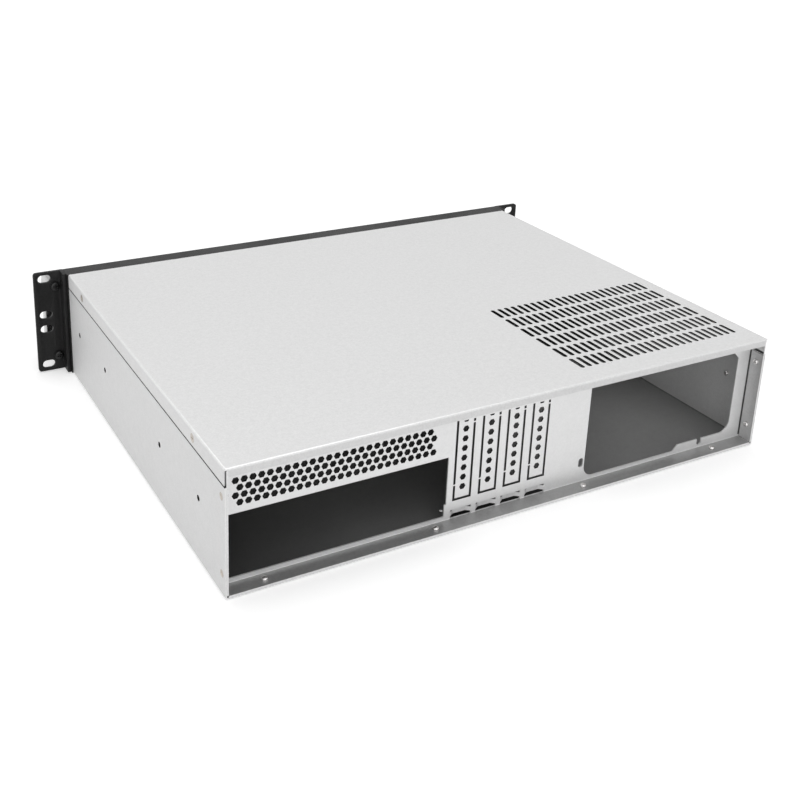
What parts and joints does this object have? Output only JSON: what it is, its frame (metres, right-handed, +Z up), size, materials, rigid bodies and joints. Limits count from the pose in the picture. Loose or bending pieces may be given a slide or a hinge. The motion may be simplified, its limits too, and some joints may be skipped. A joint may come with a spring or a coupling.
{
  "type": "rackmount server case",
  "caption": "Empty low rackmount server case of zinc-coated sheet with a recessed, vented rear panel, black rack ears and bow handles.",
  "frame": {"origin": "bottom centre of the whole object's box, on the underside of the floor", "axes": "+X to the right seen from the front, +Y from the front to the rear, +Z up"},
  "size_m": [0.4826, 0.38, 0.088],
  "materials": {
    "case_steel": "zinc-coated sheet, satin",
    "panel_steel": "zinc-coated sheet, half gloss",
    "black_paint": "fine matt powder coat",
    "handle_metal": "satin",
    "black_screw": "blackened",
    "plain_screw": "dull nickel",
    "rivet_metal": "bare, bright",
    "brass": "bare",
    "black_plastic": "fine texture",
    "switch_plastic": "moulded",
    "pale_plastic": "moulded",
    "circuit_board": "solder mask",
    "socket_metal": "tinned",
    "lamp_plastic": "clear moulded"
  },
  "bodies": {
    "case": {"base_pan": "case_steel", "top_cover": "case_steel", "rear_panel": "panel_steel", "front_panel": "black_paint", "ear_left": "black_paint", "ear_right": "black_paint", "handle_left": "handle_metal", "handle_right": "handle_metal", "handle_screws": "black_screw", "ear_screws": "black_screw", "cover_screws": "plain_screw", "rear_rivets": "rivet_metal", "drive_cage": "panel_steel", "bay_cover": "black_plastic", "psu_stop": "panel_steel", "io_board": "circuit_board", "io_spacers": "brass", "io_board_screws": "plain_screw", "usb_sockets": "socket_metal", "status_lamps": "lamp_plastic", "power_switch": "switch_plastic", "reset_switch": "switch_plastic"},
    "power_key": {"power_button": "black_plastic", "power_plunger": "pale_plastic"},
    "reset_key": {"reset_button": "black_plastic", "reset_plunger": "pale_plastic"}
  },
  "joints": [
    {"name": "power_press", "type": "slide", "parent": "case", "child": "power_key", "axis": [0, 1, 0], "range_m": [0, 0.001], "stiffness_N_per_m": 500, "springref_m": -0.001},
    {"name": "reset_press", "type": "slide", "parent": "case", "child": "reset_key", "axis": [0, 1, 0], "range_m": [0, 0.001], "stiffness_N_per_m": 500, "springref_m": -0.001}
  ]
}
